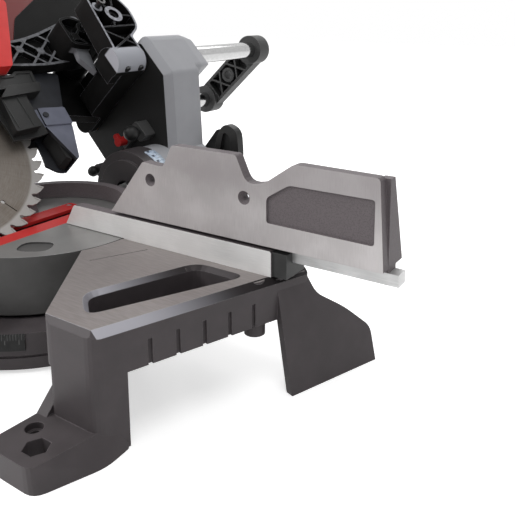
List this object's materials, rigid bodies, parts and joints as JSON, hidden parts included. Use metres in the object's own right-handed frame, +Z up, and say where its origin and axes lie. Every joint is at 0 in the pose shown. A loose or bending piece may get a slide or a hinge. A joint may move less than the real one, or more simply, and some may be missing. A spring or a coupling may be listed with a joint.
{
  "type": "sliding compound mitre saw",
  "caption": "Sliding compound mitre saw on a cast base with a turntable, tall sliding fences and a rail-guided head that tilts, plunges and runs on a battery.",
  "frame": {"origin": "midway between the front bench bolts, on the bench", "axes": "+X to the right of someone facing the saw, +Y to its back, +Z up"},
  "size_m": [0.895, 0.933, 0.3867],
  "materials": {
    "cast_paint": "satin dark grey paint on cast aluminium, worn on the edges",
    "table": "machined top on a dark cast drum",
    "fence": "brushed aluminium",
    "slide_bar": "drawn aluminium bar",
    "arm": "satin light grey paint",
    "post": "satin dark grey paint",
    "black_cast": "satin black paint on a ribbed casting",
    "chrome": "ground and plated tube",
    "steel": "turned steel",
    "blade": "ground steel with resin stains",
    "red": "moulded red plastic",
    "red_guard": "glossy red guard shell",
    "black_plastic": "fine textured black plastic",
    "grey_plastic": "textured dark grey plastic",
    "rubber": "soft black rubber",
    "boot": "blue-grey rubber boot",
    "scale_dark": "dark plate with light marks",
    "scale_light": "pale printed plate with dark marks",
    "bracket_grey": "satin grey paint",
    "bronze": "sintered bronze",
    "copper": "wound copper on a steel stack"
  },
  "bodies": {
    "base": {"base_casting": "cast_paint", "mitre_bolt": "steel", "mitre_scale": "scale_dark", "fixed_fence": "fence", "fence_caps": "grey_plastic", "fence_bolts": "steel"},
    "turntable": {"turntable": "table", "kerf_plate_right": "red", "kerf_plate_left": "red", "kerf_screws": "steel", "mitre_pointer": "steel", "bevel_post": "post", "bevel_scale": "scale_light", "mitre_grip": "rubber"},
    "mitre_lock": {"mitre_lock": "black_plastic"},
    "detent_button": {"detent_button": "red"},
    "post_knob": {"post_knob": "black_plastic"},
    "fence_right": {"sliding_fence_right": "fence", "slide_bar_right": "slide_bar"},
    "fence_left": {"sliding_fence_left": "fence", "slide_bar_left": "slide_bar"},
    "fence_lever_right": {"fence_lever_right": "black_plastic"},
    "fence_lever_left": {"fence_lever_left": "black_plastic"},
    "bevel": {"bevel_arm": "arm", "rail_bushes": "bronze", "bevel_bolt": "steel", "stop_bracket": "bracket_grey"},
    "stop_knob": {"stop_knob": "black_plastic"},
    "override_lever": {"override_lever": "red"},
    "bevel_lock": {"bevel_lock": "black_plastic"},
    "carriage": {"rails": "chrome", "rear_bracket": "black_cast", "pivot_bracket": "black_cast", "pivot_pin": "steel", "rail_screws": "steel"},
    "slide_lock": {"slide_lock": "black_plastic"},
    "down_pin": {"down_pin": "steel"},
    "head": {"head_arm": "black_cast", "upper_guard": "black_plastic", "guard_shell": "red_guard", "belt_cover": "black_plastic", "motor_housing": "black_plastic", "motor_cap": "red", "main_handle": "rubber", "battery_pack": "grey_plastic", "dust_chute": "boot", "side_panel": "black_plastic", "dust_flap": "rubber", "drive_belt": "rubber", "stator": "copper"},
    "lower_guard": {"lower_guard": "grey_plastic"},
    "blade": {"blade": "blade", "blade_flanges": "steel", "arbor_bolt": "steel", "spindle": "steel", "spindle_pulley": "steel"},
    "rotor": {"rotor": "steel", "motor_pulley": "steel"},
    "trigger": {"trigger": "red"},
    "lock_off": {"lock_off": "grey_plastic"}
  },
  "joints": [
    {"name": "mitre_turn", "type": "hinge", "parent": "base", "child": "turntable", "pos_m": [0, 0.184, 0], "axis": [0, 0, 1], "range_deg": [-45, 45]},
    {"name": "mitre_lock_lever", "type": "hinge", "parent": "turntable", "child": "mitre_lock", "pos_m": [0, -0.18, 0.071], "axis": [1, 0, 0], "range_deg": [0, 20]},
    {"name": "detent_press", "type": "slide", "parent": "turntable", "child": "detent_button", "axis": [0, 0, 1], "range_m": [-0.005, 0], "stiffness_N_per_m": 800, "springref_m": 0.003},
    {"name": "post_pin_pull", "type": "slide", "parent": "turntable", "child": "post_knob", "axis": [0, 1, 0], "range_m": [-0.006, 0], "stiffness_N_per_m": 500, "springref_m": 0.004},
    {"name": "right_fence_slide", "type": "slide", "parent": "base", "child": "fence_right", "axis": [1, 0, 0], "range_m": [-0.075, 0.03]},
    {"name": "left_fence_slide", "type": "slide", "parent": "base", "child": "fence_left", "axis": [1, 0, 0], "range_m": [0, 0.05]},
    {"name": "right_lever_fold", "type": "hinge", "parent": "base", "child": "fence_lever_right", "pos_m": [0.238, 0.184, 0.123], "axis": [0, 1, 0], "range_deg": [0, 80]},
    {"name": "left_lever_fold", "type": "hinge", "parent": "base", "child": "fence_lever_left", "pos_m": [-0.238, 0.184, 0.123], "axis": [0, 1, 0], "range_deg": [0, 80]},
    {"name": "bevel_tilt", "type": "hinge", "parent": "turntable", "child": "bevel", "pos_m": [0, 0.184, 0.108], "axis": [0, 1, 0], "range_deg": [-5, 91]},
    {"name": "stop_pin_pull", "type": "slide", "parent": "bevel", "child": "stop_knob", "axis": [0, 1, 0], "range_m": [-0.008, 0], "stiffness_N_per_m": 500, "springref_m": 0.004},
    {"name": "override_turn", "type": "hinge", "parent": "bevel", "child": "override_lever", "pos_m": [-0.05602, 0.377, 0.16514], "axis": [0, 1, 0], "range_deg": [-30, 30]},
    {"name": "bevel_lock_turn", "type": "hinge", "parent": "bevel", "child": "bevel_lock", "pos_m": [0, 0.184, 0.108], "axis": [0, 1, 0], "range_deg": [-40, 40]},
    {"name": "rail_slide", "type": "slide", "parent": "bevel", "child": "carriage", "axis": [0, 1, 0], "range_m": [-0.16, 0.004]},
    {"name": "slide_lock_turn", "type": "hinge", "parent": "bevel", "child": "slide_lock", "pos_m": [-0.15715, 0.4305, 0.16655], "axis": [0.7314, 0, 0.682], "range_deg": [0, 180]},
    {"name": "down_pin_slide", "type": "slide", "parent": "carriage", "child": "down_pin", "axis": [0.7314, 0, 0.682], "range_m": [-0.008, 0]},
    {"name": "head_plunge", "type": "hinge", "parent": "carriage", "child": "head", "pos_m": [-0.15004, 0.366, 0.2689], "axis": [0.7314, 0, 0.682], "range_deg": [-40, 0]},
    {"name": "guard_swing", "type": "hinge", "parent": "head", "child": "lower_guard", "pos_m": [-0.07843, 0.098, 0.19211], "axis": [0.7314, 0, 0.682], "range_deg": [0, 150]},
    {"name": "blade_spin", "type": "hinge", "parent": "head", "child": "blade", "pos_m": [-0.07843, 0.098, 0.19211], "axis": [0.7314, 0, 0.682], "continuous": true},
    {"name": "rotor_spin", "type": "hinge", "parent": "head", "child": "rotor", "pos_m": [-0.21619, 0.246, 0.33984], "axis": [0.7314, 0, 0.682], "continuous": true},
    {"name": "trigger_pull", "type": "hinge", "parent": "head", "child": "trigger", "pos_m": [-0.21551, 0.008, 0.33911], "axis": [0.7314, 0, 0.682], "range_deg": [-10, 0], "stiffness_Nm_per_rad": 0.6, "springref_deg": 8.59},
    {"name": "lock_off_press", "type": "slide", "parent": "head", "child": "lock_off", "axis": [0.7314, 0, 0.682], "range_m": [-0.003, 0.003], "stiffness_N_per_m": 600}
  ],
  "couplings": [
    {"joint": "guard_swing", "follows": "head_plunge", "ratio": -3.75},
    {"joint": "rotor_spin", "follows": "blade_spin", "ratio": 1.6667}
  ]
}
